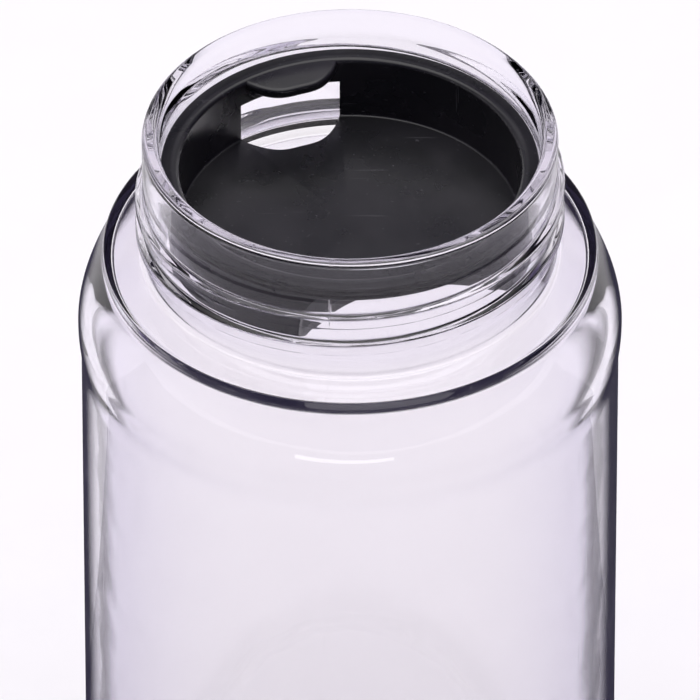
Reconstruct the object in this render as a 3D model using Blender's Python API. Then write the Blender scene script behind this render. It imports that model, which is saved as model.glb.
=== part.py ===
"""Wide-mouth water bottle of clear plastic with a splash guard pushed into its neck.

Z points up from the base, the bottle's axis is the Z axis, and -Y is the front.
Sizes are in metres. A height below the rim is called a depth.
"""

import math

import bmesh
import bpy

MM = 0.001

# Bottle: driving sizes
BOTTLE_HEIGHT = 205.0 * MM
BODY_RADIUS = 44.6 * MM
BODY_WALL = 2.4 * MM
SHOULDER_BULGE = 0.5 * MM  # how far the shoulder's widest turn stands out from the body
NECK_RADIUS = 34.3 * MM
MOUTH_RADIUS = 31.6 * MM
RIM_ROUNDING = 0.9 * MM
NECK_LENGTH = 23.2 * MM
NECK_FILLET = 1.2 * MM
COLLAR_WIDTH = 6.6 * MM  # flat ledge round the foot of the neck
COLLAR_DROP = 0.2 * MM  # fall of the ledge from the neck to its edge
COLLAR_STEP = 2.1 * MM  # upright edge of the ledge
COLLAR_ROUNDING = 0.35 * MM
SHOULDER_HEIGHT = 13.0 * MM  # from the foot of the upright edge down to the widest turn
FLARE_WIDTH = 2.0 * MM  # inside the neck's foot, where the bore turns out under the ledge
FLARE_HEIGHT = 1.6 * MM
INNER_SETBACK = 1.3 * MM  # from the ledge's edge in to the inner corner under it
INNER_CORNER = 0.9 * MM
WAIST_DEPTH = 46.5 * MM  # where the shoulder has run out into the straight body
BASE_ROUNDING = 8.0 * MM
BASE_THICKNESS = 3.2 * MM
PUNT_RADIUS = 27.0 * MM
PUNT_HEIGHT = 3.5 * MM

# Thread on the outside of the neck, right-handed
THREAD_PITCH = 5.5 * MM
THREAD_HEIGHT = 1.15 * MM
THREAD_ROOT_WIDTH = 3.0 * MM
THREAD_CREST_WIDTH = 1.2 * MM
THREAD_TURNS = 2.1
THREAD_TOP_DEPTH = 7.8 * MM  # depth of the ridge's centre line at its upper end
THREAD_TOP_ANGLE = math.radians(150.0)
THREAD_RUNOUT = math.radians(28.0)  # length of the taper at each end, as an angle
THREAD_SINK = 0.6 * MM  # how deep the ridge is rooted in the neck

# Splash guard
GUARD_DEPTH = 6.3 * MM  # of its top ring below the rim
GUARD_CLEARANCE = 0.35 * MM
RING_WIDTH = 3.05 * MM
RING_THICKNESS = 2.4 * MM
CUP_WALL = 1.8 * MM
CUP_FLOOR = 1.9 * MM
CUP_DEPTH = 11.8 * MM  # from the ring's top to the top of the floor
CUP_ROUNDING = 0.8 * MM

# Soft ring in a groove in the guard's edge
SEAL_GAP = 0.3 * MM
SEAL_WIDTH = 1.5 * MM
SEAL_THICKNESS = 0.8 * MM

# Thumb tab and the window behind it, at the rear
TAB_ANGLE = math.radians(90.0 + 21.0)
TAB_HALF_ANGLE = math.radians(16.8)
TAB_REACH = 5.5 * MM
TAB_THICKNESS = 2.0 * MM
TAB_DROP = 0.2 * MM  # of its top face below the ring's
TAB_EDGE = 0.5 * MM  # chamfer round its top
WINDOW_ANGLE = math.radians(90.0 + 21.7)
WINDOW_HALF_ANGLE = math.radians(18.4)
WINDOW_TOP_DEPTH = 4.6 * MM  # below the ring's top
WINDOW_REACH = 6.6 * MM  # how far the same cut reaches into the floor

# Drinking opening, opposite the window
SPOUT_ANGLE = WINDOW_ANGLE + math.pi
SPOUT_HALF_ANGLE = math.radians(37.5)
SPOUT_REACH = 12.0 * MM
SPOUT_CROWN = 0.72  # share of the opening's width that is left at the top of its arch

# The nose shared by the tab, the window and the drinking opening
NOSE_ROOT = 0.4 * MM  # how far outside the ring's bore its curve begins
NOSE_FLATNESS = 3.2
NOSE_BLUNTNESS = 0.75
CUT_PAST = 2.0 * MM  # how far a cutter runs past the faces that it cuts

SEGMENTS = 64

# Worked out from the sizes above
BORE_RADIUS = MOUTH_RADIUS
RING_OUTER = BORE_RADIUS - GUARD_CLEARANCE
RING_INNER = RING_OUTER - RING_WIDTH
CUP_OUTER = RING_INNER + CUP_WALL
FLOOR_TOP_DEPTH = GUARD_DEPTH + CUP_DEPTH
GUARD_BOTTOM_DEPTH = FLOOR_TOP_DEPTH + CUP_FLOOR
COLLAR_RADIUS = NECK_RADIUS + COLLAR_WIDTH
COLLAR_DEPTH = NECK_LENGTH + COLLAR_DROP
SHOULDER_DEPTH = COLLAR_DEPTH + COLLAR_STEP
SEAL_OUTER = BORE_RADIUS - SEAL_GAP
SEAL_INNER = SEAL_OUTER - SEAL_WIDTH
SEAL_DEPTH = GUARD_DEPTH + RING_THICKNESS / 2
GROOVE_RADIUS = SEAL_INNER - SEAL_GAP
GROOVE_HALF = SEAL_THICKNESS / 2 + SEAL_GAP


def level(depth):
    """Height above the base of a point that lies depth below the rim."""
    return BOTTLE_HEIGHT - depth


def clear_scene():
    for obj in list(bpy.data.objects):
        bpy.data.objects.remove(obj, do_unlink=True)


def material(name, colour, roughness, metallic=0.0, transmission=0.0):
    mat = bpy.data.materials.new(name)
    mat.use_nodes = True
    shader = mat.node_tree.nodes["Principled BSDF"]
    shader.inputs["Base Color"].default_value = (*colour, 1.0)
    shader.inputs["Roughness"].default_value = roughness
    shader.inputs["Metallic"].default_value = metallic
    shader.inputs["Transmission Weight"].default_value = transmission
    return mat


def finish_object(name, bm, mat):
    """Makes an object of the bmesh, with its normals outward and its round faces smooth."""
    bmesh.ops.remove_doubles(bm, verts=bm.verts, dist=0.00001)
    bmesh.ops.recalc_face_normals(bm, faces=bm.faces)
    mesh = bpy.data.meshes.new(name)
    bm.to_mesh(mesh)
    bm.free()
    mesh.shade_smooth()
    mesh.set_sharp_from_angle(angle=math.radians(35.0))
    obj = bpy.data.objects.new(name, mesh)
    bpy.context.scene.collection.objects.link(obj)
    if mat:
        obj.data.materials.append(mat)
    return obj


def arc(centre, radius, start, stop, steps):
    """Points of an arc in the profile plane, as (radius, height), angles in degrees."""
    points = []
    for i in range(steps + 1):
        angle = math.radians(start + (stop - start) * i / steps)
        points.append((centre[0] + radius * math.cos(angle), centre[1] + radius * math.sin(angle)))
    return points


def smooth_run(start, stop, leave, arrive, steps):
    """Points of a Bezier stretch from start to stop, pulled to the handles leave and arrive."""
    points = []
    for i in range(steps + 1):
        t = i / steps
        a, b, c, d = (1 - t) ** 3, 3 * t * (1 - t) ** 2, 3 * t * t * (1 - t), t**3
        points.append(
            tuple(a * start[k] + b * leave[k] + c * arrive[k] + d * stop[k] for k in (0, 1))
        )
    return points


def turned(profile, closed):
    """A bmesh of the profile turned round Z. closed joins the last point to the first."""
    bm = bmesh.new()
    verts = [bm.verts.new((r, 0.0, z)) for r, z in profile]
    pairs = list(zip(verts, verts[1:]))
    if closed:
        pairs.append((verts[-1], verts[0]))
    edges = [bm.edges.new(pair) for pair in pairs]
    bmesh.ops.spin(
        bm,
        geom=verts + edges,
        cent=(0, 0, 0),
        axis=(0, 0, 1),
        angle=2 * math.pi,
        steps=SEGMENTS,
        use_merge=True,
    )
    bmesh.ops.remove_doubles(bm, verts=bm.verts, dist=0.00001)
    bmesh.ops.recalc_face_normals(bm, faces=bm.faces)
    return bm


def boolean(obj, cutter, operation):
    """Applies a Boolean of cutter to obj and removes the cutter."""
    modifier = obj.modifiers.new(operation.lower(), "BOOLEAN")
    modifier.operation = operation
    modifier.solver = "EXACT"
    modifier.object = cutter
    depsgraph = bpy.context.evaluated_depsgraph_get()
    mesh = bpy.data.meshes.new_from_object(obj.evaluated_get(depsgraph))
    obj.modifiers.clear()
    obj.data = mesh
    bpy.data.objects.remove(cutter, do_unlink=True)
    mesh.shade_smooth()
    mesh.set_sharp_from_angle(angle=math.radians(35.0))


def inner_shoulder(body_in, bulge, bulge_depth):
    """The wall's inner side: a flare under the ledge, a tight corner, then down to the body."""
    ceiling = level(COLLAR_DEPTH + BODY_WALL)
    corner = COLLAR_RADIUS - INNER_SETBACK
    bulge_in = bulge - BODY_WALL
    points = smooth_run(
        (MOUTH_RADIUS, ceiling + COLLAR_DROP + FLARE_HEIGHT),
        (MOUTH_RADIUS + FLARE_WIDTH, ceiling + COLLAR_DROP),
        (MOUTH_RADIUS, ceiling + COLLAR_DROP + FLARE_HEIGHT * 0.3),
        (MOUTH_RADIUS + FLARE_WIDTH * 0.3, ceiling + COLLAR_DROP),
        4,
    )
    points += arc((corner - INNER_CORNER, ceiling - INNER_CORNER), INNER_CORNER, 90, 12, 4)
    points += smooth_run(
        points[-1],
        (bulge_in, level(bulge_depth)),
        (corner + 1.2 * MM, ceiling - 5.0 * MM),
        (bulge_in, level(bulge_depth) + 4.0 * MM),
        5,
    )[1:]
    points += smooth_run(
        points[-1],
        (body_in, level(WAIST_DEPTH)),
        (bulge_in, level(bulge_depth) - 4.0 * MM),
        (body_in, level(WAIST_DEPTH) + 4.0 * MM),
        4,
    )[1:]
    return points


def bottle_profile():
    """Outer side from the base's centre up to the rim, then the inner side back down."""
    body_in = BODY_RADIUS - BODY_WALL
    bulge = BODY_RADIUS + SHOULDER_BULGE
    bulge_depth = SHOULDER_DEPTH + SHOULDER_HEIGHT
    rim_edge = (NECK_RADIUS - MOUTH_RADIUS) / 2
    rounding = min(RIM_ROUNDING, rim_edge * 0.9)
    base_in = BASE_ROUNDING - BODY_WALL
    foot = PUNT_RADIUS + PUNT_HEIGHT

    points = [(0.0, PUNT_HEIGHT)]
    points += smooth_run(
        (PUNT_RADIUS, PUNT_HEIGHT),
        (foot + PUNT_HEIGHT, 0.0),
        (PUNT_RADIUS + PUNT_HEIGHT, PUNT_HEIGHT),
        (foot, 0.0),
        6,
    )
    points += arc((BODY_RADIUS - BASE_ROUNDING, BASE_ROUNDING), BASE_ROUNDING, -90, 0, 8)
    points += smooth_run(
        (BODY_RADIUS, level(WAIST_DEPTH)),
        (bulge, level(bulge_depth)),
        (BODY_RADIUS, level(WAIST_DEPTH) + 4 * MM),
        (bulge, level(bulge_depth) - 4 * MM),
        5,
    )
    points += smooth_run(
        (bulge, level(bulge_depth)),
        (COLLAR_RADIUS, level(SHOULDER_DEPTH)),
        (bulge, level(bulge_depth) + 3.5 * MM),
        (COLLAR_RADIUS + 2.7 * MM, level(SHOULDER_DEPTH) - 5.0 * MM),
        7,
    )[1:]
    points += arc(
        (COLLAR_RADIUS - COLLAR_ROUNDING, level(COLLAR_DEPTH) - COLLAR_ROUNDING),
        COLLAR_ROUNDING,
        0,
        90,
        2,
    )
    points += arc(
        (NECK_RADIUS + NECK_FILLET, level(NECK_LENGTH) + NECK_FILLET), NECK_FILLET, -90, -180, 3
    )
    points += arc((NECK_RADIUS - rounding, level(rounding)), rounding, 0, 90, 4)
    points += arc((MOUTH_RADIUS + rounding, level(rounding)), rounding, 90, 180, 4)
    points += inner_shoulder(body_in, bulge, bulge_depth)
    points += arc(
        (body_in - base_in, BASE_ROUNDING + BASE_THICKNESS - BODY_WALL), base_in, 0, -90, 7
    )
    points += smooth_run(
        (foot + PUNT_HEIGHT, BASE_THICKNESS),
        (PUNT_RADIUS, PUNT_HEIGHT + BASE_THICKNESS),
        (foot, BASE_THICKNESS),
        (PUNT_RADIUS + PUNT_HEIGHT, PUNT_HEIGHT + BASE_THICKNESS),
        6,
    )
    points.append((0.0, PUNT_HEIGHT + BASE_THICKNESS))
    return points


def thread_ridge():
    """The helical ridge, rooted in the neck and tapering to nothing at both ends."""
    bm = bmesh.new()
    facet = 2 * math.pi / SEGMENTS
    steps = round(SEGMENTS * THREAD_TURNS)
    total = facet * steps
    top_angle = facet * round(THREAD_TOP_ANGLE / facet)
    previous = None
    for i in range(steps + 1):
        turned_by = facet * i
        ends = min(turned_by, total - turned_by) / THREAD_RUNOUT
        share = math.sin(min(ends, 1.0) * math.pi / 2)
        angle = top_angle - turned_by
        depth = THREAD_TOP_DEPTH + THREAD_PITCH * turned_by / (2 * math.pi)
        root = NECK_RADIUS - THREAD_SINK
        crest = NECK_RADIUS + THREAD_HEIGHT * share - THREAD_SINK * 0.5 * (1 - share)
        section = (
            (root, depth - THREAD_ROOT_WIDTH / 2),
            (crest, depth - THREAD_CREST_WIDTH / 2),
            (crest, depth + THREAD_CREST_WIDTH / 2),
            (root, depth + THREAD_ROOT_WIDTH / 2),
        )
        ring = [
            bm.verts.new((r * math.cos(angle), r * math.sin(angle), level(d))) for r, d in section
        ]
        if previous:
            for k in range(4):
                near, far = k, (k + 1) % 4
                bm.faces.new((previous[near], previous[far], ring[far], ring[near]))
        else:
            bm.faces.new(ring)
        previous = ring
    bm.faces.new(previous)
    return finish_object("thread_guide", bm, None)


def bottle(mat):
    body = finish_object("bottle_body", turned(bottle_profile(), closed=False), mat)
    boolean(body, thread_ridge(), "UNION")
    return body


def cup_profile():
    """The guard's section: ring with a groove in its edge, wall and floor."""
    top = level(GUARD_DEPTH)
    under = top - RING_THICKNESS
    groove = level(SEAL_DEPTH)
    floor = level(FLOOR_TOP_DEPTH)
    bottom = level(GUARD_BOTTOM_DEPTH)
    points = [(0.0, bottom)]
    points += arc((CUP_OUTER - CUP_ROUNDING, bottom + CUP_ROUNDING), CUP_ROUNDING, -90, 0, 3)
    points += [
        (CUP_OUTER, under),
        (RING_OUTER, under),
        (RING_OUTER, groove - GROOVE_HALF),
        (GROOVE_RADIUS, groove - GROOVE_HALF),
        (GROOVE_RADIUS, groove + GROOVE_HALF),
        (RING_OUTER, groove + GROOVE_HALF),
        (RING_OUTER, top - 0.3 * MM),
        (RING_OUTER - 0.3 * MM, top),
    ]
    points += arc((RING_INNER + CUP_ROUNDING, top - CUP_ROUNDING), CUP_ROUNDING, 90, 180, 4)
    points += [
        (RING_INNER, floor + CUP_ROUNDING),
        (RING_INNER - CUP_ROUNDING * 0.3, floor + CUP_ROUNDING * 0.3),
        (RING_INNER - CUP_ROUNDING, floor),
        (0.0, floor),
    ]
    return points


def crescent(angle, half_angle, inner, outer, height, steps=20):
    """Corners of a crescent lying flat: a round nose that reaches in to inner from an arc at outer."""
    start = RING_INNER + NOSE_ROOT
    corners = []
    for i in range(steps + 1):
        side = -1 + 2 * i / steps
        reach = (1 - abs(side) ** NOSE_FLATNESS) ** NOSE_BLUNTNESS
        corners.append((start - (start - inner) * reach, angle + half_angle * side))
    for i in range(steps + 1):
        corners.append((outer, angle + half_angle * (1 - 2 * i / steps)))
    return [(r * math.cos(turn), r * math.sin(turn), height) for r, turn in corners]


def crescent_solid(sections):
    """A closed solid through the crescents, which are listed from the lowest to the highest."""
    bm = bmesh.new()
    rings = [[bm.verts.new(corner) for corner in section] for section in sections]
    for low, high in zip(rings, rings[1:]):
        for k in range(len(low)):
            after = (k + 1) % len(low)
            bm.faces.new((low[k], low[after], high[after], high[k]))
    bm.faces.new(rings[0])
    bm.faces.new(rings[-1])
    return finish_object("crescent_guide", bm, None)


def window_cutter():
    """Straight cut through wall and floor behind the tab."""
    past = CUP_OUTER + CUT_PAST
    inner = RING_INNER - WINDOW_REACH
    heights = (level(GUARD_BOTTOM_DEPTH) - CUT_PAST, level(GUARD_DEPTH + WINDOW_TOP_DEPTH))
    return crescent_solid(
        [crescent(WINDOW_ANGLE, WINDOW_HALF_ANGLE, inner, past, height) for height in heights]
    )


def spout_cutter():
    """Arched cut for drinking: full width through the floor, drawn in towards the ring."""
    past = CUP_OUTER + CUT_PAST
    bottom = level(GUARD_BOTTOM_DEPTH) - CUT_PAST
    foot = level(FLOOR_TOP_DEPTH)
    crown = level(GUARD_DEPTH + RING_THICKNESS)
    sections = [crescent(SPOUT_ANGLE, SPOUT_HALF_ANGLE, RING_INNER - SPOUT_REACH, past, bottom)]
    steps = 7
    for i in range(steps + 1):
        rise = i / steps
        width = SPOUT_CROWN + (1 - SPOUT_CROWN) * math.sqrt(1 - rise**2)
        inner = RING_INNER - SPOUT_REACH * width
        height = foot + (crown - foot) * rise
        sections.append(crescent(SPOUT_ANGLE, SPOUT_HALF_ANGLE * width, inner, past, height))
    return crescent_solid(sections)


def tab_solid():
    """The thumb tab, rooted in the ring."""
    top = level(GUARD_DEPTH + TAB_DROP)
    inner = RING_INNER - TAB_REACH
    root = RING_INNER + RING_WIDTH / 4
    heights = (top - TAB_THICKNESS, top - TAB_EDGE, top)
    draws = (0.0, 0.0, TAB_EDGE)
    return crescent_solid(
        [
            crescent(TAB_ANGLE, TAB_HALF_ANGLE - draw / RING_INNER, inner + draw, root, height)
            for height, draw in zip(heights, draws)
        ]
    )


def guard_cup(mat):
    cup = finish_object("guard_cup", turned(cup_profile(), closed=False), mat)
    boolean(cup, window_cutter(), "DIFFERENCE")
    boolean(cup, spout_cutter(), "DIFFERENCE")
    boolean(cup, tab_solid(), "UNION")
    return cup


def guard_seal(mat):
    centre = ((SEAL_OUTER + SEAL_INNER) / 2, level(SEAL_DEPTH))
    steps = 12
    profile = []
    for i in range(steps):
        angle = 2 * math.pi * i / steps
        profile.append(
            (
                centre[0] + SEAL_WIDTH / 2 * math.cos(angle),
                centre[1] + SEAL_THICKNESS / 2 * math.sin(angle),
            )
        )
    return finish_object("guard_seal", turned(profile, closed=True), mat)


def main():
    clear_scene()
    clear_plastic = material("clear_plastic", (0.86, 0.84, 0.90), 0.04, transmission=1.0)
    satin_black = material("satin_black", (0.018, 0.018, 0.022), 0.38)
    soft_black = material("soft_black", (0.012, 0.012, 0.012), 0.7)
    bottle(clear_plastic)
    guard_cup(satin_black)
    guard_seal(soft_black)


main()
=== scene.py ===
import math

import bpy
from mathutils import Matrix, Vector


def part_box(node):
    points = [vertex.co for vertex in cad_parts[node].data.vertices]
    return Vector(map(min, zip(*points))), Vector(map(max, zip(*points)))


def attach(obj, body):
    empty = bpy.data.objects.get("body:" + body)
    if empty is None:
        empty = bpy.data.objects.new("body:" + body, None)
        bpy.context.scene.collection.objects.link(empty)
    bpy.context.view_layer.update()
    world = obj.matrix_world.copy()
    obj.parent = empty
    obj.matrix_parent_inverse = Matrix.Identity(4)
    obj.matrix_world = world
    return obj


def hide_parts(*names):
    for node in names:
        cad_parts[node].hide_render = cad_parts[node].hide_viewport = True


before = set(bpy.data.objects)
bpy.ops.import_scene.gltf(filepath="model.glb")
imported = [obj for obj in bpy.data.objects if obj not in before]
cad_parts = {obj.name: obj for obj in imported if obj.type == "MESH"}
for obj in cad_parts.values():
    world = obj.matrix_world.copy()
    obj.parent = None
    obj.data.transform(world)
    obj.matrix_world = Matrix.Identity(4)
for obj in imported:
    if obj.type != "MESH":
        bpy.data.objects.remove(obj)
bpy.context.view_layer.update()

# Looks of a wide-mouth bottle of clear plastic and the satin black splash guard pushed into its neck.
# Metres, +Z up from the foot, the bottle's axis on Z, -Y the front. A depth is counted down from the rim.

MM = 0.001
TURN = 2 * math.pi
ROUND = 256  # steps in a full turn of a turned piece

# Sizes read from the frame
_, body_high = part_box("bottle_body")
cup_low, cup_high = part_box("guard_cup")
seal_low, seal_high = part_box("guard_seal")
HEIGHT = body_high.z
WIDEST = body_high.x
RING_TOP = cup_high.z
RING_OUTER = cup_high.x
CUP_UNDERSIDE = cup_low.z

# Bottle
BULGE = 0.5 * MM  # how far the shoulder's widest turn stands out from the body
BODY_RADIUS = WIDEST - BULGE
BODY_WALL = 2.4 * MM
NECK_RADIUS = 34.3 * MM
MOUTH_GAP = 0.35 * MM  # between the guard's ring and the neck
MOUTH_RADIUS = RING_OUTER + MOUTH_GAP
NECK_FOOT = HEIGHT - 23.2 * MM
NECK_FILLET = 1.2 * MM
NECK_INNER_END = 0.5 * MM  # how far below the ledge's edge the neck's straight inside runs
RIM_ROUNDING = 0.9 * MM
COLLAR_RADIUS = NECK_RADIUS + 6.6 * MM
COLLAR_DROP = 0.2 * MM  # fall of the ledge from the neck to its edge
COLLAR_STEP = 2.1 * MM  # upright edge of the ledge
COLLAR_ROUNDING = 0.35 * MM
COLLAR_LEAN = 0.15 * MM  # how far the ledge's foot stands out past its top
COLLAR_EDGE = NECK_FOOT - COLLAR_DROP
SHOULDER_TOP = COLLAR_EDGE - COLLAR_STEP
SHOULDER_HEIGHT = 13.0 * MM
BULGE_LEVEL = SHOULDER_TOP - SHOULDER_HEIGHT
WAIST_LEVEL = HEIGHT - 46.5 * MM
BASE_ROUNDING = 8.0 * MM
BASE_THICKNESS = 3.2 * MM
PUNT_RADIUS = 27.0 * MM
PUNT_HEIGHT = 3.5 * MM

# The shoulder's curves: how far a curve heads straight on before it bends
SHOULDER_OUT_HEAD = 2.7 * MM
SHOULDER_DOWN_HEAD = 5.0 * MM
BULGE_UP_HEAD = 3.5 * MM
BULGE_DOWN_HEAD = 4.0 * MM

# The shoulder's hidden inner side
INNER_SETBACK = 1.3 * MM  # of its outer corner from the ledge's edge
INNER_CORNER = 0.9 * MM
INNER_DROP = 0.15 * MM  # fall of the ceiling to its outer corner
INNER_OUT_HEAD = 1.2 * MM
INNER_BULGE_HEAD = 4.0 * MM
FLARE_WIDTH = 2.0 * MM  # of the flare where the neck's inside meets the ceiling
FLARE_HEIGHT = 1.6 * MM
FLARE_FALL = 0.05 * MM  # left at the flare's outer end
FLARE_DOWN_HEAD = 0.5 * MM
FLARE_OUT_HEAD = 0.6 * MM
FLARE_OUT_RISE = 0.1 * MM

# Thread
PITCH = 5.5 * MM
THREAD_HEIGHT = 1.15 * MM
THREAD_CREST = 0.75 * MM  # half the width of the flat crest
THREAD_FLANK = 0.95 * MM
THREAD_TURNS = 2.1
THREAD_TOP = HEIGHT - 7.8 * MM
THREAD_TOP_ANGLE = math.radians(150.0)
THREAD_RUNOUT = math.radians(28.0)
NECK_ROW = 0.2 * MM  # height of one row of faces up the neck
NECK_MATCH = 0.02 * MM  # how near to the neck's radius a corner counts as on it

# Splash guard
RING_INNER = RING_OUTER - 3.05 * MM
RING_THICKNESS = 2.4 * MM
CUP_OUTER = RING_INNER + 1.8 * MM
CUP_FLOOR = CUP_UNDERSIDE + 1.9 * MM
SEAL_LEVEL = (seal_low.z + seal_high.z) / 2
SEAL_HALF = (seal_high.z - seal_low.z) / 2
SEAL_WIDTH = 1.5 * MM
GAP = 0.3 * MM
GROOVE_RADIUS = seal_high.x - SEAL_WIDTH - GAP
TAB_ANGLE = math.radians(90.0 + 21.0)
TAB_HALF_ANGLE = math.radians(16.8)
TAB_REACH = 5.5 * MM
TAB_THICKNESS = 2.0 * MM
TAB_DROP = 0.2 * MM  # of the tab's top below the ring's top
TAB_ROOT = 0.8 * MM  # how far the tab runs into the ring
TAB_ROUNDING = 0.7 * MM
WINDOW_ANGLE = math.radians(90.0 + 21.7)
WINDOW_HALF_ANGLE = math.radians(18.4)
WINDOW_TOP = RING_TOP - 4.6 * MM
WINDOW_REACH = 6.6 * MM
SPOUT_ANGLE = WINDOW_ANGLE + math.pi
SPOUT_HALF_ANGLE = math.radians(37.5)
SPOUT_REACH = 12.0 * MM
SPOUT_CROWN = 0.72
NOSE_ROOT = 0.4 * MM
NOSE_FLATNESS = 3.2
NOSE_FULLNESS = 0.75
CUT_PAST = 2.0 * MM  # how far the cutting tools reach past the wall
CUP_LIP = 0.8 * MM
CUP_FILLET = 0.4 * MM
RING_EDGE = 0.25 * MM
RING_ROOT = 0.5 * MM  # round between the cup's wall and the ring

# Clear plastic
PARTING_ANGLE = math.radians(5.6)  # of the mould's parting line, from the front
CLEAR_FRONT = (0.965, 0.953, 0.97, 1.0)
CLEAR_NECK = (0.945, 0.93, 0.972, 1.0)
CLEAR_EDGE = (0.83, 0.81, 0.92, 1.0)
CLEAR_IOR = 1.52
RIM_IOR = 1.12  # in the top of the rim's far half, so that it stays light
CLEAR_DEPTH = (0.52, 0.47, 0.58, 1.0)  # what the plastic's thickness lets through
CLEAR_DENSITY = 8.0
# Painted shade: a matt dark laid over the clear plastic where it is seen edge on, in place of the dark its
# refraction shows
EDGE_SHADE_DARK = (0.03, 0.027, 0.052, 1.0)
EDGE_SHADE_PALE = (0.05, 0.045, 0.08, 1.0)
EDGE_SHADE_BODY = 0.97  # strength of the painted outline shade on the body
EDGE_SHADE_NECK = 0.25  # and on the ledge and neck
EDGE_SHADE_FROM, EDGE_SHADE_FULL = 0.71, 0.88  # how edge on a face is where the painted outline shade starts, and is full
EDGE_SHADE_RIGHT = 0.045  # how much sooner the painted shade starts at the right side
LEDGE_SHADE_DEEPEST = 0.95  # strength of the same painted shade at the ledge's upright edge

# Black plastic, rubber and studio sheet
SATIN_DARK = (0.006, 0.006, 0.008, 1.0)
SATIN_PALE = (0.011, 0.010, 0.014, 1.0)
SATIN_SCRATCHED = (0.035, 0.034, 0.04, 1.0)
SATIN_INSIDE, SATIN_OUTSIDE = 0.5, 0.2  # specular level
RUBBER_DARK = (0.008, 0.008, 0.009, 1.0)
RUBBER_PALE = (0.016, 0.016, 0.017, 1.0)
RUBBER_DUSTY = (0.03, 0.03, 0.03, 1.0)
SHEET_DARK = (0.93, 0.918, 0.93, 1.0)
SHEET_PALE = (0.94, 0.928, 0.94, 1.0)

# Stage
CARD_DARK = (0.012, 0.01, 0.022, 1.0)
CARD_PALE = (0.02, 0.017, 0.034, 1.0)
CARD_SIZE = 6.0
CARD_CENTRE = (0.0, -2.9, 0.002)
CARD_FADE_FROM, CARD_FADE_TO = 0.02, 0.22  # where it fades out, towards the rear
SHEET_SIZE = 60.0
ROOM_DARK = (0.9, 0.72, 1.35, 1.0)
ROOM_BRIGHT = (1.0, 0.98, 1.0, 1.0)
ROOM_DIM = 0.1
ROOM_CEILING = 2.2
ROOM_LEFT = 0.6
ROOM_GROUND = 1.02


# ---------------------------------------------------------------- modelling

def deselect():
    """Leaves edit mode with nothing selected."""
    if bpy.context.object and bpy.context.object.mode != "OBJECT":
        bpy.ops.object.mode_set(mode="OBJECT")
    bpy.ops.object.select_all(action="DESELECT")


def pick(piece):
    """Makes the piece the only one selected, and the active one."""
    deselect()
    bpy.context.view_layer.objects.active = piece
    piece.select_set(True)


def draw_outline(name, points):
    """A run of edges in the XZ plane through the points, drawn by extruding one corner of a plane."""
    deselect()
    (r, z) = points[0]
    bpy.ops.mesh.primitive_plane_add(size=MM, location=(r, 0.0, z))
    piece = bpy.context.object
    piece.name = name
    bpy.ops.object.mode_set(mode="EDIT")
    bpy.ops.mesh.merge(type="CENTER")
    for before, after in zip(points, points[1:]):
        step = (after[0] - before[0], 0.0, after[1] - before[1])
        bpy.ops.mesh.extrude_region_move(TRANSFORM_OT_translate={"value": step})
    return piece


def spin_round(piece, steps=ROUND):
    """Spins the drawn outline once round Z and closes the seam and the poles."""
    bpy.ops.mesh.select_all(action="SELECT")
    bpy.ops.mesh.spin(steps=steps, angle=TURN, center=(0, 0, 0), axis=(0, 0, 1))
    bpy.ops.mesh.select_all(action="SELECT")
    bpy.ops.mesh.remove_doubles(threshold=0.00001)
    bpy.ops.mesh.normals_make_consistent(inside=False)
    bpy.ops.object.mode_set(mode="OBJECT")
    settle(piece)
    return piece


def settle(piece):
    """Puts the piece's place in its mesh, with the object at the origin."""
    pick(piece)
    bpy.ops.object.transform_apply(location=True, rotation=True, scale=True)


def apply_modifiers(piece):
    pick(piece)
    for modifier in list(piece.modifiers):
        bpy.ops.object.modifier_apply(modifier=modifier.name)


def smooth(piece, angle=math.radians(30.0)):
    pick(piece)
    bpy.ops.object.shade_smooth_by_angle(angle=angle)


def arc(centre, radius, start, stop, steps):
    """Points of an arc, angles in degrees."""
    points = []
    for i in range(steps + 1):
        turn = math.radians(start + (stop - start) * i / steps)
        points.append((centre[0] + radius * math.cos(turn), centre[1] + radius * math.sin(turn)))
    return points


def bow(start, stop, leave, arrive, steps):
    """Points of a Bezier stretch from start to stop."""
    points = []
    for i in range(steps + 1):
        t = i / steps
        a, b, c, d = (1 - t) ** 3, 3 * t * (1 - t) ** 2, 3 * t * t * (1 - t), t**3
        points.append(
            tuple(a * start[k] + b * leave[k] + c * arrive[k] + d * stop[k] for k in (0, 1))
        )
    return points


def straight(start, stop, steps):
    """Points between start and stop, without the two ends."""
    return [
        tuple(start[k] + (stop[k] - start[k]) * i / steps for k in (0, 1)) for i in range(1, steps)
    ]


def ease(t):
    """0 below 0, 1 above 1 and a smooth step between."""
    t = min(max(t, 0.0), 1.0)
    return t * t * (3 - 2 * t)


# ---------------------------------------------------------------- bottle

def inner_shoulder(body_in):
    """The wall's inner side from the neck down to the body, one wall inside the outer side."""
    ceiling = COLLAR_EDGE - BODY_WALL
    corner = COLLAR_RADIUS - INNER_SETBACK
    bulge_in = WIDEST - BODY_WALL
    points = bow(
        (MOUTH_RADIUS, ceiling + FLARE_HEIGHT),
        (MOUTH_RADIUS + FLARE_WIDTH, ceiling + FLARE_FALL),
        (MOUTH_RADIUS, ceiling + FLARE_DOWN_HEAD),
        (MOUTH_RADIUS + FLARE_OUT_HEAD, ceiling + FLARE_OUT_RISE),
        steps=10,
    )
    corner_centre = (corner - INNER_CORNER, ceiling - INNER_DROP - INNER_CORNER)
    points += arc(corner_centre, INNER_CORNER, 88, 12, steps=8)
    points += bow(
        points[-1],
        (bulge_in, BULGE_LEVEL),
        (corner + INNER_OUT_HEAD, ceiling - SHOULDER_DOWN_HEAD),
        (bulge_in, BULGE_LEVEL + INNER_BULGE_HEAD),
        steps=18,
    )[1:]
    points += bow(
        points[-1],
        (body_in, WAIST_LEVEL),
        (bulge_in, BULGE_LEVEL - BULGE_DOWN_HEAD),
        (body_in, WAIST_LEVEL + BULGE_DOWN_HEAD),
        steps=12,
    )[1:]
    return points


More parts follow.
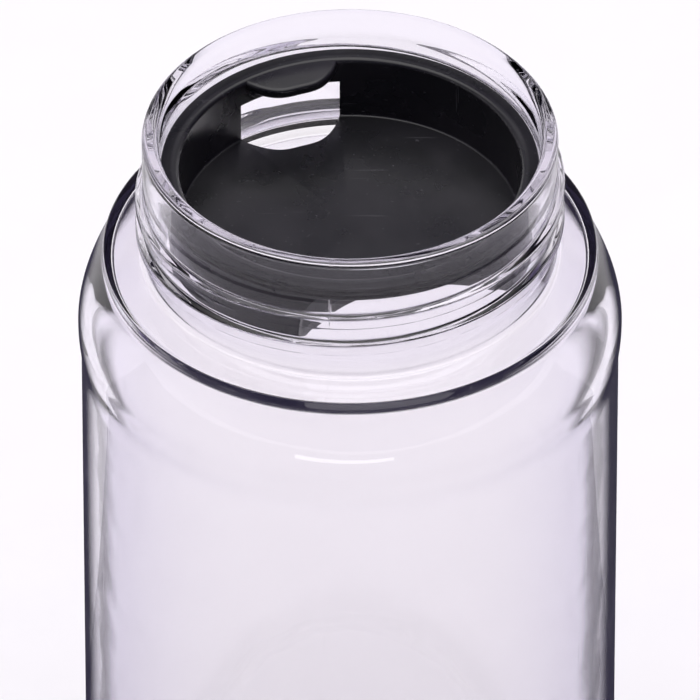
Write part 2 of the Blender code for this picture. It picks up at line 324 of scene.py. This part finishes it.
def bottle_outline():
    """Half the bottle's section: up the outside from the base's middle, and down the inside."""
    body_in = BODY_RADIUS - BODY_WALL
    foot = PUNT_RADIUS + PUNT_HEIGHT
    base_in = BASE_ROUNDING - BODY_WALL

    points = [(0.0, PUNT_HEIGHT)]
    points += bow(
        (PUNT_RADIUS, PUNT_HEIGHT),
        (foot + PUNT_HEIGHT, 0.0),
        (foot, PUNT_HEIGHT),
        (foot, 0.0),
        steps=12,
    )
    points += arc((BODY_RADIUS - BASE_ROUNDING, BASE_ROUNDING), BASE_ROUNDING, -90, 0, steps=16)
    points += straight(points[-1], (BODY_RADIUS, WAIST_LEVEL), 12)
    points += bow(
        (BODY_RADIUS, WAIST_LEVEL),
        (WIDEST, BULGE_LEVEL),
        (BODY_RADIUS, WAIST_LEVEL + BULGE_DOWN_HEAD),
        (WIDEST, BULGE_LEVEL - BULGE_DOWN_HEAD),
        steps=12,
    )
    points += bow(
        (WIDEST, BULGE_LEVEL),
        (COLLAR_RADIUS + COLLAR_LEAN, SHOULDER_TOP),
        (WIDEST, BULGE_LEVEL + BULGE_UP_HEAD),
        (COLLAR_RADIUS + SHOULDER_OUT_HEAD, SHOULDER_TOP - SHOULDER_DOWN_HEAD),
        steps=22,
    )[1:]
    collar_centre = (COLLAR_RADIUS - COLLAR_ROUNDING, COLLAR_EDGE - COLLAR_ROUNDING)
    points += straight(points[-1], (COLLAR_RADIUS, collar_centre[1]), 6)
    points += arc(collar_centre, COLLAR_ROUNDING, 0, 88, steps=5)
    fillet = (NECK_RADIUS + NECK_FILLET, NECK_FOOT + NECK_FILLET)
    points += arc(fillet, NECK_FILLET, -90, -180, steps=8)
    rim_level = HEIGHT - RIM_ROUNDING
    neck_start, neck_stop = points[-1], (NECK_RADIUS, rim_level)
    rows = round((neck_stop[1] - neck_start[1]) / NECK_ROW)
    points += straight(neck_start, neck_stop, rows)
    points += arc((NECK_RADIUS - RIM_ROUNDING, rim_level), RIM_ROUNDING, 0, 90, steps=8)
    points += arc((MOUTH_RADIUS + RIM_ROUNDING, rim_level), RIM_ROUNDING, 90, 180, steps=8)
    points += straight(points[-1], (MOUTH_RADIUS, COLLAR_EDGE - NECK_INNER_END), 6)
    points += inner_shoulder(body_in)
    inner_corner = (body_in - base_in, BASE_ROUNDING + BASE_THICKNESS - BODY_WALL)
    points += straight(points[-1], (body_in, inner_corner[1]), 12)
    points += arc(inner_corner, base_in, 0, -90, steps=12)
    points += bow(
        (foot + PUNT_HEIGHT, BASE_THICKNESS),
        (PUNT_RADIUS, PUNT_HEIGHT + BASE_THICKNESS),
        (foot, BASE_THICKNESS),
        (foot, PUNT_HEIGHT + BASE_THICKNESS),
        steps=12,
    )
    points.append((0.0, PUNT_HEIGHT + BASE_THICKNESS))
    return points


def thread_lift(angle, z):
    """How far the neck's outside stands out at this place: a right-hand ridge with tapered ends."""
    lift = 0.0
    for whole in range(-1, 4):
        turned = (THREAD_TOP_ANGLE - angle) % TURN + TURN * whole
        if not 0.0 <= turned <= TURN * THREAD_TURNS:
            continue
        centre = THREAD_TOP - PITCH * turned / TURN
        away = abs(z - centre) - THREAD_CREST
        ends = min(turned, TURN * THREAD_TURNS - turned) / THREAD_RUNOUT
        lift = max(lift, THREAD_HEIGHT * ease(1 - away / THREAD_FLANK) * ease(ends))
    return lift


def raise_thread(piece):
    """Raises the thread out of the neck's own faces, so that the clear wall has no seam in it."""
    for vertex in piece.data.vertices:
        x, y, z = vertex.co
        r = math.hypot(x, y)
        if abs(r - NECK_RADIUS) < NECK_MATCH and z > NECK_FOOT:
            out = 1 + thread_lift(math.atan2(y, x), z) / r
            vertex.co = (x * out, y * out, z)


def make_bottle(finish):
    bottle = spin_round(draw_outline("clear_bottle", bottle_outline()))
    raise_thread(bottle)
    smooth(bottle, math.radians(50.0))
    bottle.data.materials.append(finish)
    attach(bottle, "bottle")
    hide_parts("bottle_body")


# ---------------------------------------------------------------- splash guard

def cup_outline():
    """Half the guard's section: up the outside with the seal's groove, and down the inside."""
    under = RING_TOP - RING_THICKNESS
    groove_low = SEAL_LEVEL - SEAL_HALF - GAP
    groove_high = SEAL_LEVEL + SEAL_HALF + GAP
    points = [(0.0, CUP_UNDERSIDE)]
    points += arc((CUP_OUTER - CUP_LIP, CUP_UNDERSIDE + CUP_LIP), CUP_LIP, -90, 0, steps=8)
    points.append((CUP_OUTER, under - RING_ROOT))
    points += arc((CUP_OUTER + RING_ROOT, under - RING_ROOT), RING_ROOT, 180, 90, steps=4)[1:]
    points += arc((RING_OUTER - RING_EDGE, under + RING_EDGE), RING_EDGE, -90, 0, steps=3)
    points += [
        (RING_OUTER, groove_low),
        (GROOVE_RADIUS, groove_low),
        (GROOVE_RADIUS, groove_high),
        (RING_OUTER, groove_high),
    ]
    points += arc((RING_OUTER - RING_EDGE, RING_TOP - RING_EDGE), RING_EDGE, 0, 90, steps=4)
    points += arc((RING_INNER + CUP_LIP, RING_TOP - CUP_LIP), CUP_LIP, 90, 180, steps=10)
    points += arc((RING_INNER - CUP_FILLET, CUP_FLOOR + CUP_FILLET), CUP_FILLET, 0, -90, steps=6)
    points.append((0.0, CUP_FLOOR))
    return points


def crescent(angle, half_angle, inner, outer, steps=40):
    """Corners of a crescent: a round nose that reaches in to inner from an arc at outer."""
    start = RING_INNER + NOSE_ROOT
    corners = []
    for i in range(steps + 1):
        side = -1 + 2 * i / steps
        reach = (1 - abs(side) ** NOSE_FLATNESS) ** NOSE_FULLNESS
        corners.append((start - (start - inner) * reach, angle + half_angle * side))
    for i in range(steps + 1):
        corners.append((outer, angle + half_angle * (1 - 2 * i / steps)))
    return [(r * math.cos(turn), r * math.sin(turn)) for r, turn in corners]


def stack(name, layers):
    """A closed solid through flat outlines at rising heights: a disc, extruded and shaped layer by layer."""
    deselect()
    corners = len(layers[0][1])
    bpy.ops.mesh.primitive_circle_add(vertices=corners, radius=MM, fill_type="NGON")
    piece = bpy.context.object
    piece.name = name
    for height, outline in layers:
        if height != layers[0][0]:
            bpy.ops.object.mode_set(mode="EDIT")
            bpy.ops.mesh.extrude_region_move(TRANSFORM_OT_translate={"value": (0, 0, MM)})
            bpy.ops.object.mode_set(mode="OBJECT")
        top = [p for p in piece.data.polygons if p.select and len(p.vertices) == corners][-1]
        for index, (x, y) in zip(top.vertices, outline):
            piece.data.vertices[index].co = (x, y, height)
    pick(piece)
    bpy.ops.object.mode_set(mode="EDIT")
    bpy.ops.mesh.select_all(action="SELECT")
    bpy.ops.mesh.normals_make_consistent(inside=False)
    bpy.ops.object.mode_set(mode="OBJECT")
    return piece


def combine(piece, tool, operation):
    """Joins the tool to the piece or cuts it out, and removes the tool."""
    modifier = piece.modifiers.new(operation.lower(), "BOOLEAN")
    modifier.operation = operation
    modifier.solver = "EXACT"
    modifier.object = tool
    apply_modifiers(piece)
    bpy.data.objects.remove(tool, do_unlink=True)


def window_tool():
    """The vent window behind the tab, through the wall and the floor's edge."""
    outline = crescent(
        WINDOW_ANGLE, WINDOW_HALF_ANGLE, RING_INNER - WINDOW_REACH, CUP_OUTER + CUT_PAST
    )
    return stack("window_tool", [(CUP_UNDERSIDE - CUT_PAST, outline), (WINDOW_TOP, outline)])


def spout_tool():
    """The drinking opening opposite the window, narrower towards the ring."""
    past = CUP_OUTER + CUT_PAST
    crown = RING_TOP - RING_THICKNESS
    full = crescent(SPOUT_ANGLE, SPOUT_HALF_ANGLE, RING_INNER - SPOUT_REACH, past)
    layers = [(CUP_UNDERSIDE - CUT_PAST, full)]
    steps = 14
    for i in range(steps + 1):
        rise = i / steps
        width = SPOUT_CROWN + (1 - SPOUT_CROWN) * math.sqrt(1 - rise**2)
        outline = crescent(
            SPOUT_ANGLE, SPOUT_HALF_ANGLE * width, RING_INNER - SPOUT_REACH * width, past
        )
        layers.append((CUP_FLOOR + (crown - CUP_FLOOR) * rise, outline))
    return stack("spout_tool", layers)


def tab_piece():
    """The thumb tab, with its upper and lower edges rounded."""
    top = RING_TOP - TAB_DROP
    root = RING_INNER + TAB_ROOT
    layers = []
    steps = 5
    for side, sign in ((top - TAB_THICKNESS + TAB_ROUNDING, -1), (top - TAB_ROUNDING, 1)):
        for i in range(steps + 1):
            turn = math.pi / 2 * (i / steps if sign > 0 else 1 - i / steps)
            draw = TAB_ROUNDING * (1 - math.cos(turn))
            outline = crescent(
                TAB_ANGLE, TAB_HALF_ANGLE - draw / RING_INNER, RING_INNER - TAB_REACH + draw, root
            )
            layers.append((side + sign * TAB_ROUNDING * math.sin(turn), outline))
    return stack("tab_piece", layers)


def make_guard(finish):
    guard = spin_round(draw_outline("splash_guard", cup_outline()))
    combine(guard, window_tool(), "DIFFERENCE")
    combine(guard, spout_tool(), "DIFFERENCE")
    combine(guard, tab_piece(), "UNION")
    smooth(guard)
    guard.data.materials.append(finish)
    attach(guard, "guard")
    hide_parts("guard_cup")


def make_seal(finish):
    deselect()
    minor = SEAL_WIDTH / 2
    bpy.ops.mesh.primitive_torus_add(
        location=(0, 0, SEAL_LEVEL),
        major_radius=seal_high.x - minor,
        minor_radius=minor,
        major_segments=ROUND,
        minor_segments=24,
    )
    seal = bpy.context.object
    seal.name = "seal_ring"
    bpy.ops.object.mode_set(mode="EDIT")
    bpy.ops.mesh.select_all(action="SELECT")
    bpy.ops.transform.resize(value=(1, 1, SEAL_HALF / minor))
    bpy.ops.object.mode_set(mode="OBJECT")
    settle(seal)
    smooth(seal)
    seal.data.materials.append(finish)
    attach(seal, "seal")
    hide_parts("guard_seal")


# ---------------------------------------------------------------- finishes

def new_material(name):
    made = bpy.data.materials.new(name)
    made.use_nodes = True
    tree = made.node_tree
    return made, tree, tree.nodes["Principled BSDF"]


def feed(tree, socket, value):
    """Gives a socket another node's output, or a plain value."""
    if isinstance(value, bpy.types.NodeSocket):
        tree.links.new(value, socket)
    else:
        socket.default_value = value


def math_node(tree, operation, *values):
    node = tree.nodes.new("ShaderNodeMath")
    node.operation = operation
    for socket, value in zip(node.inputs, values):
        feed(tree, socket, value)
    return node.outputs["Value"]


def weighted(tree, base, *terms):
    """base plus each value times its weight."""
    total = base
    for value, weight in terms:
        total = math_node(tree, "MULTIPLY_ADD", value, weight, total)
    return total


def ramp(tree, value, low, high, start=0.0, stop=1.0):
    """A smooth step from start to stop as the value goes from low to high."""
    node = tree.nodes.new("ShaderNodeMapRange")
    node.interpolation_type = "SMOOTHSTEP"
    for name, given in (
        ("Value", value),
        ("From Min", low),
        ("From Max", high),
        ("To Min", start),
        ("To Max", stop),
    ):
        feed(tree, node.inputs[name], given)
    return node.outputs["Result"]


def blend(tree, share, first, second):
    """Goes from the first colour to the second as the share goes from 0 to 1."""
    node = tree.nodes.new("ShaderNodeMix")
    node.data_type = "RGBA"
    for index, value in ((0, share), (6, first), (7, second)):
        feed(tree, node.inputs[index], value)
    return node.outputs[2]


def noise(tree, vector, scale, detail=2.0, roughness=0.5):
    node = tree.nodes.new("ShaderNodeTexNoise")
    feed(tree, node.inputs["Vector"], vector)
    feed(tree, node.inputs["Scale"], scale)
    node.inputs["Detail"].default_value = detail
    node.inputs["Roughness"].default_value = roughness
    return node.outputs[0]


def stretched(tree, vector, turn, stretch):
    """The vector turned and drawn out, so that a noise on it makes streaks."""
    node = tree.nodes.new("ShaderNodeMapping")
    feed(tree, node.inputs["Vector"], vector)
    node.inputs["Rotation"].default_value = turn
    node.inputs["Scale"].default_value = stretch
    return node.outputs["Vector"]


def object_place(tree):
    return tree.nodes.new("ShaderNodeTexCoord").outputs["Object"]


def split(tree, vector):
    """The vector's X, Y and Z."""
    node = tree.nodes.new("ShaderNodeSeparateXYZ")
    tree.links.new(vector, node.inputs["Vector"])
    return node.outputs


def from_axis(tree, parts):
    """How far the place is from the bottle's axis."""
    across, along = parts["X"], parts["Y"]
    return math_node(tree, "SQRT", weighted(tree, 0.0, (across, across), (along, along)))


def bumped(tree, shader, height, distance):
    node = tree.nodes.new("ShaderNodeBump")
    node.inputs["Distance"].default_value = distance
    feed(tree, node.inputs["Height"], height)
    tree.links.new(node.outputs["Normal"], shader.inputs["Normal"])


def new_group(name, inputs, outputs):
    """An empty node group with the given inputs and outputs, and its two end nodes."""
    group = bpy.data.node_groups.new(name, "ShaderNodeTree")
    for socket, kind, value in inputs:
        made = group.interface.new_socket(name=socket, in_out="INPUT", socket_type=kind)
        if value is not None:
            made.default_value = value
    for socket in outputs:
        group.interface.new_socket(name=socket, in_out="OUTPUT", socket_type="NodeSocketFloat")
    return group, group.nodes.new("NodeGroupInput"), group.nodes.new("NodeGroupOutput")


def moulded_grain_group():
    """Grain of a moulded surface: fine pits on broader, softer cells, with slow drifts in gloss."""
    group, given, out = new_group(
        "moulded grain",
        (("Vector", "NodeSocketVector", None), ("Grain", "NodeSocketFloat", 2500.0)),
        ("Height", "Drift"),
    )
    vector, grain = given.outputs["Vector"], given.outputs["Grain"]
    fine = noise(group, vector, grain, detail=3.0, roughness=0.6)
    cells = noise(group, vector, math_node(group, "MULTIPLY", grain, 0.3), detail=2.0, roughness=0.5)
    height = weighted(group, 0.0, (fine, 0.7), (cells, 0.3))
    group.links.new(height, out.inputs["Height"])
    drift = noise(group, vector, 55.0, detail=4.0, roughness=0.55)
    group.links.new(ramp(group, drift, low=0.35, high=0.68), out.inputs["Drift"])
    return group


def handling_group():
    """What use leaves on a surface: fingers' smudges and two families of hairline scratches."""
    group, given, out = new_group(
        "handling marks",
        (
            ("Vector", "NodeSocketVector", None),
            ("Smudge Scale", "NodeSocketFloat", 28.0),
            ("Scratch Threshold", "NodeSocketFloat", 0.7),
        ),
        ("Smudges", "Scratches"),
    )
    vector, threshold = given.outputs["Vector"], given.outputs["Scratch Threshold"]
    broad = noise(group, vector, given.outputs["Smudge Scale"], detail=4.0, roughness=0.6)
    group.links.new(ramp(group, broad, low=0.52, high=0.72), out.inputs["Smudges"])
    clear_line = math_node(group, "ADD", threshold, 0.06)
    upright = stretched(group, vector, turn=(0.3, 0.5, 0.2), stretch=(1400.0, 1400.0, 60.0))
    level = stretched(group, vector, turn=(1.1, 0.2, 0.9), stretch=(60.0, 1500.0, 1500.0))
    lines = []
    for family in (upright, level):
        streaks = noise(group, family, 1.0, detail=1.0, roughness=0.4)
        lines.append(ramp(group, streaks, threshold, clear_line))
    group.links.new(math_node(group, "MAXIMUM", *lines), out.inputs["Scratches"])
    return group


def parting_line_group():
    """The thin raised line that the two halves of a mould leave, upright on both sides of a round piece."""
    group, given, out = new_group(
        "parting line",
        (
            ("Vector", "NodeSocketVector", None),
            ("Angle", "NodeSocketFloat", 0.0),
            ("Half Width", "NodeSocketFloat", 0.00015),
        ),
        ("Line",),
    )
    spin = group.nodes.new("ShaderNodeVectorRotate")
    spin.rotation_type = "Z_AXIS"
    group.links.new(given.outputs["Vector"], spin.inputs["Vector"])
    group.links.new(given.outputs["Angle"], spin.inputs["Angle"])
    away = math_node(group, "ABSOLUTE", split(group, spin.outputs["Vector"])["X"])
    group.links.new(ramp(group, away, 0.0, given.outputs["Half Width"], 1.0, 0.0), out.inputs["Line"])
    return group


GROUPS = {"grain": moulded_grain_group(), "marks": handling_group(), "parting": parting_line_group()}


def use_group(tree, which, vector, **settings):
    """Outputs of a shared group; a setting's name is its input's, with _ for a space."""
    node = tree.nodes.new("ShaderNodeGroup")
    node.node_tree = GROUPS[which]
    feed(tree, node.inputs["Vector"], vector)
    for name, value in settings.items():
        feed(tree, node.inputs[name.replace("_", " ")], value)
    return node.outputs


def painted_edge_shade(tree, parts, facing):
    """How strongly the painted outline shade shows: where a face is seen edge on, weaker on the neck."""
    fade_from = SHOULDER_TOP - 5.0 * MM
    deepest = ramp(tree, parts["Z"], fade_from, SHOULDER_TOP, start=EDGE_SHADE_BODY, stop=EDGE_SHADE_NECK)
    sooner = ramp(tree, parts["X"], 0.0, BODY_RADIUS, stop=EDGE_SHADE_RIGHT)
    edge_on = math_node(tree, "ADD", facing, sooner)
    return ramp(tree, edge_on, EDGE_SHADE_FROM, EDGE_SHADE_FULL, stop=deepest)


def painted_ledge_shade(tree, parts, facing):
    """Painted shade on the upright edge of the ledge, on the near half of the bottle and where it faces the
    viewer.
    """
    foot_from, foot_full = SHOULDER_TOP - 0.3 * MM, SHOULDER_TOP + 0.1 * MM
    top_from, top_gone = COLLAR_EDGE - 0.2 * MM, COLLAR_EDGE
    out_from, out_full = COLLAR_RADIUS - 1.0 * MM, COLLAR_RADIUS - 0.6 * MM
    near_until, near_gone = -12.0 * MM, 2.0 * MM
    strength = ramp(tree, facing, low=0.3, high=0.6, start=LEDGE_SHADE_DEEPEST, stop=0.0)
    for share in (
        ramp(tree, parts["Z"], foot_from, foot_full),
        ramp(tree, parts["Z"], top_from, top_gone, start=1.0, stop=0.0),
        ramp(tree, from_axis(tree, parts), out_from, out_full),
        ramp(tree, parts["Y"], near_until, near_gone, start=1.0, stop=0.0),
    ):
        strength = math_node(tree, "MULTIPLY", strength, share)
    return strength


def rim_refraction(tree, parts):
    """The refraction index, eased down in the top of the rim's far half."""
    top_from, top_full = HEIGHT - 6.0 * MM, HEIGHT - 4.0 * MM
    rear_from, rear_full = -8.0 * MM, 10.0 * MM
    top = ramp(tree, parts["Z"], top_from, top_full)
    rear = ramp(tree, parts["Y"], rear_from, rear_full)
    share = math_node(tree, "MULTIPLY", top, rear)
    return weighted(tree, CLEAR_IOR, (share, RIM_IOR - CLEAR_IOR))


def painted_edge_shade_shader(tree, marks):
    """The painted shade of the outlines: a matt dark, a little paler where fingers smudged it."""
    shader = tree.nodes.new("ShaderNodeBsdfPrincipled")
    shade = blend(tree, marks["Smudges"], EDGE_SHADE_DARK, EDGE_SHADE_PALE)
    feed(tree, shader.inputs["Base Color"], shade)
    shader.inputs["Roughness"].default_value = 1.0
    shader.inputs["Specular IOR Level"].default_value = 0.0
    return shader


def clear_plastic():
    """Clear plastic that takes a lavender cast where it is seen edge on, with painted shade at its outlines
    and on the ledge's upright edge.
    """
    made, tree, shader = new_material("clear plastic")
    place = object_place(tree)
    parts = split(tree, place)
    marks = use_group(tree, "marks", place, Smudge_Scale=24.0, Scratch_Threshold=0.74)
    parting = use_group(tree, "parting", place, Angle=PARTING_ANGLE)
    swell = noise(tree, place, 60.0, detail=2.0, roughness=0.4)
    edge = tree.nodes.new("ShaderNodeLayerWeight")
    edge.inputs["Blend"].default_value = 0.5
    facing = edge.outputs["Facing"]

    neck_full = NECK_FOOT + 2.0 * MM
    front = blend(tree, ramp(tree, parts["Z"], NECK_FOOT, neck_full), CLEAR_FRONT, CLEAR_NECK)
    cast = blend(tree, ramp(tree, facing, low=0.25, high=0.8), front, CLEAR_EDGE)
    feed(tree, shader.inputs["Base Color"], cast)
    rough = weighted(tree, 0.0, (marks["Smudges"], 0.02), (marks["Scratches"], 0.06))
    feed(tree, shader.inputs["Roughness"], rough)
    shader.inputs["IOR"].default_value = CLEAR_IOR
    feed(tree, shader.inputs["IOR"], rim_refraction(tree, parts))
    shader.inputs["Transmission Weight"].default_value = 1.0
    height = weighted(tree, 0.0, (swell, 1.0), (parting["Line"], 0.2), (marks["Scratches"], -0.02))
    bumped(tree, shader, height, distance=0.00012)

    # painted shade: the matt dark is mixed over the clear plastic at its outlines and on the ledge's upright
    # edge
    mix = tree.nodes.new("ShaderNodeMixShader")
    outline = painted_edge_shade(tree, parts, facing)
    dark = math_node(tree, "MAXIMUM", outline, painted_ledge_shade(tree, parts, facing))
    feed(tree, mix.inputs["Fac"], dark)
    tree.links.new(shader.outputs["BSDF"], mix.inputs[1])
    tree.links.new(painted_edge_shade_shader(tree, marks).outputs["BSDF"], mix.inputs[2])
    output = tree.nodes["Material Output"]
    tree.links.new(mix.outputs["Shader"], output.inputs["Surface"])
    volume = tree.nodes.new("ShaderNodeVolumeAbsorption")
    volume.inputs["Color"].default_value = CLEAR_DEPTH
    volume.inputs["Density"].default_value = CLEAR_DENSITY
    tree.links.new(volume.outputs["Volume"], output.inputs["Volume"])
    return made


def satin_black():
    """Moulded black plastic with a satin grain, slightly polished where fingers reach it."""
    made, tree, shader = new_material("satin black")
    place = object_place(tree)
    grain = use_group(tree, "grain", place, Grain=2600.0)
    marks = use_group(tree, "marks", place, Smudge_Scale=60.0, Scratch_Threshold=0.72)
    colour = blend(tree, grain["Drift"], SATIN_DARK, SATIN_PALE)
    colour = blend(tree, marks["Scratches"], colour, SATIN_SCRATCHED)
    feed(tree, shader.inputs["Base Color"], colour)
    rough = weighted(
        tree, 0.27, (grain["Drift"], 0.09), (marks["Smudges"], -0.05), (marks["Scratches"], 0.12)
    )
    feed(tree, shader.inputs["Roughness"], rough)
    wall_from, wall_full = CUP_OUTER - 0.8 * MM, CUP_OUTER - 0.2 * MM
    out = from_axis(tree, split(tree, place))
    gloss = ramp(tree, out, wall_from, wall_full, start=SATIN_INSIDE, stop=SATIN_OUTSIDE)
    feed(tree, shader.inputs["Specular IOR Level"], gloss)
    height = weighted(tree, 0.0, (grain["Height"], 1.0), (marks["Scratches"], -0.4))
    bumped(tree, shader, height, distance=0.00001)
    return made


def soft_black():
    """Dull moulded rubber with a little pale dust in its grain."""
    made, tree, shader = new_material("soft black")
    place = object_place(tree)
    grain = use_group(tree, "grain", place, Grain=3600.0)
    marks = use_group(tree, "marks", place, Smudge_Scale=140.0, Scratch_Threshold=0.78)
    colour = blend(tree, grain["Drift"], RUBBER_DARK, RUBBER_PALE)
    feed(tree, shader.inputs["Base Color"], blend(tree, marks["Smudges"], colour, RUBBER_DUSTY))
    rough = weighted(tree, 0.58, (grain["Drift"], 0.14), (grain["Height"], 0.1))
    feed(tree, shader.inputs["Roughness"], rough)
    bumped(tree, shader, grain["Height"], distance=0.00004)
    return made


def pale_floor():
    """Matt studio sheet, with barely seen mottling."""
    made, tree, shader = new_material("pale floor")
    grain = use_group(tree, "grain", object_place(tree), Grain=900.0)
    feed(tree, shader.inputs["Base Color"], blend(tree, grain["Drift"], SHEET_DARK, SHEET_PALE))
    feed(tree, shader.inputs["Roughness"], weighted(tree, 0.85, (grain["Drift"], 0.1)))
    shader.inputs["Specular IOR Level"].default_value = 0.2
    bumped(tree, shader, grain["Height"], distance=0.00001)
    return made


def black_card():
    """Matt black card that fades out towards the rear."""
    made, tree, shader = new_material("black card")
    place = object_place(tree)
    grain = use_group(tree, "grain", place, Grain=1200.0)
    feed(tree, shader.inputs["Base Color"], blend(tree, grain["Drift"], CARD_DARK, CARD_PALE))
    fade = ramp(tree, split(tree, place)["Y"], CARD_FADE_FROM, CARD_FADE_TO, start=1.0, stop=0.0)
    feed(tree, shader.inputs["Alpha"], fade)
    shader.inputs["Roughness"].default_value = 0.9
    return made


# ---------------------------------------------------------------- stage

def make_floor():
    deselect()
    bpy.ops.mesh.primitive_plane_add(size=SHEET_SIZE, location=(0, 0, 0))
    floor = bpy.context.object
    floor.name = "floor"
    floor.data.materials.append(pale_floor())


def make_flag():
    """A black card lying in front of the bottle, there only for what the front faces mirror."""
    deselect()
    bpy.ops.mesh.primitive_plane_add(size=CARD_SIZE, location=CARD_CENTRE)
    settle(bpy.context.object)
    flag = bpy.context.object
    flag.name = "front_flag"
    flag.data.materials.append(black_card())
    for kind in ("camera", "diffuse", "transmission", "volume_scatter", "shadow"):
        setattr(flag, "visible_" + kind, False)


def softbox(name, place, aim, width, height, power):
    """A rectangular light at the place, turned to the aim, that mirrors in outer faces only."""
    data = bpy.data.lights.new(name, "AREA")
    data.shape = "RECTANGLE"
    data.size = width
    data.size_y = height
    data.energy = power
    light = bpy.data.objects.new(name, data)
    bpy.context.scene.collection.objects.link(light)
    light.location = place
    light.rotation_mode = "QUATERNION"
    light.rotation_quaternion = (Vector(aim) - Vector(place)).to_track_quat("-Z", "Y")
    light.visible_camera = False
    light.visible_transmission = False


def make_world():
    """A dim room with a bright ceiling, bright walls low down at the rear and left, and bright ground."""
    bpy.context.scene.view_settings.view_transform = "Standard"
    world = bpy.data.worlds.new("studio")
    bpy.context.scene.world = world
    world.use_nodes = True
    tree = world.node_tree
    background = tree.nodes["Background"]
    toward = split(tree, tree.nodes.new("ShaderNodeTexCoord").outputs["Generated"])
    ceiling = ramp(tree, toward["Z"], low=0.6, high=0.92, stop=ROOM_CEILING)
    rear = ramp(tree, toward["Y"], low=0.4, high=0.85)
    left = ramp(tree, toward["X"], low=-0.95, high=-0.6, start=ROOM_LEFT, stop=0.0)
    low_down = ramp(tree, toward["Z"], low=0.3, high=0.6, start=1.0, stop=0.0)
    wall = math_node(tree, "MULTIPLY", math_node(tree, "MAXIMUM", rear, left), low_down)
    ground = ramp(tree, toward["Z"], low=-0.01, high=0.0, start=ROOM_GROUND, stop=0.0)
    bright = math_node(tree, "MAXIMUM", math_node(tree, "ADD", ceiling, wall), ground)
    hue = blend(tree, ramp(tree, bright, low=0.0, high=0.4), ROOM_DARK, ROOM_BRIGHT)
    feed(tree, background.inputs["Color"], hue)
    feed(tree, background.inputs["Strength"], math_node(tree, "ADD", bright, ROOM_DIM))


def make_camera():
    """Far off with a long lens, looking down on the neck from the front."""
    elevation = math.radians(39.2)
    distance = 3.0
    across = 116.3 * MM  # width of the picture at the bottle
    sensor = 36.0
    aim_depth = 45.5 * MM
    aim = Vector((0.0, 0.0, HEIGHT - aim_depth))
    data = bpy.data.cameras.new("camera")
    data.sensor_width = sensor
    data.lens = sensor * distance / across
    data.clip_start, data.clip_end = 0.1, 60.0
    camera = bpy.data.objects.new("camera", data)
    bpy.context.scene.collection.objects.link(camera)
    back = Vector((0.0, -math.cos(elevation), math.sin(elevation)))
    camera.location = aim + back * distance
    camera.rotation_mode = "QUATERNION"
    camera.rotation_quaternion = (-back).to_track_quat("-Z", "Y")
    bpy.context.scene.camera = camera


make_camera()
make_floor()
make_flag()
make_world()
softbox(
    "front_strip", place=(-0.02, -0.6, 0.11), aim=(0.0, 0.0, 0.17), width=0.4, height=0.025, power=0.12
)

make_bottle(clear_plastic())
make_guard(satin_black())
make_seal(soft_black())
